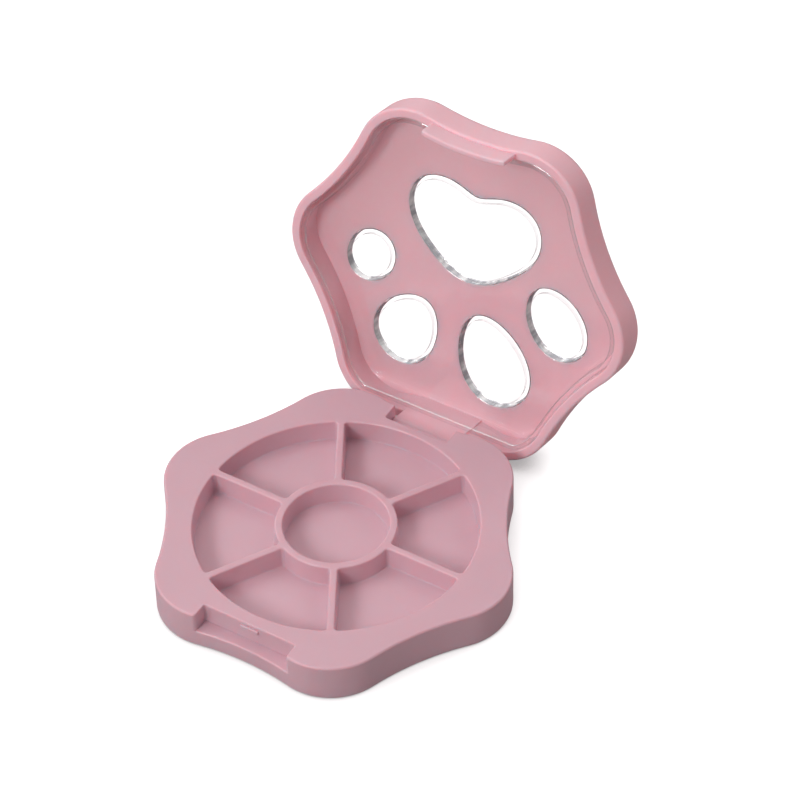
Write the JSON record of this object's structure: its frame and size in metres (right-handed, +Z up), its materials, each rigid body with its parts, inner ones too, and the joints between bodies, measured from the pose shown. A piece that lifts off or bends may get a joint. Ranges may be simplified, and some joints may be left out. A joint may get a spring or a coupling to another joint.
{
  "type": "pill case",
  "caption": "Flip-lid pill case with a lobed outline, round and sector-shaped compartments, a pinned hinge, a latch tab and clear paw-shaped windows in the lid.",
  "frame": {"origin": "centre of the base's flat underside, on the axis of the round middle compartment", "axes": "+Z up; +Y towards the hinge, -Y towards the latch; +X to the right seen from the latch"},
  "size_m": [0.0888, 0.1113, 0.08],
  "materials": {
    "base": "satin moulded polypropylene, pale pink",
    "lid": "satin moulded polypropylene, pale pink",
    "window": "clear polished polystyrene",
    "pin": "drawn steel wire"
  },
  "bodies": {
    "case": {"base": "base", "hinge_pin": "pin"},
    "lid": {"lid_shell": "lid", "window_liner": "window"}
  },
  "joints": [
    {"name": "lid_hinge", "type": "hinge", "parent": "case", "child": "lid", "pos_m": [0, 0.0383, 0.005], "axis": [1, 0, 0], "range_deg": [0, 104]}
  ]
}
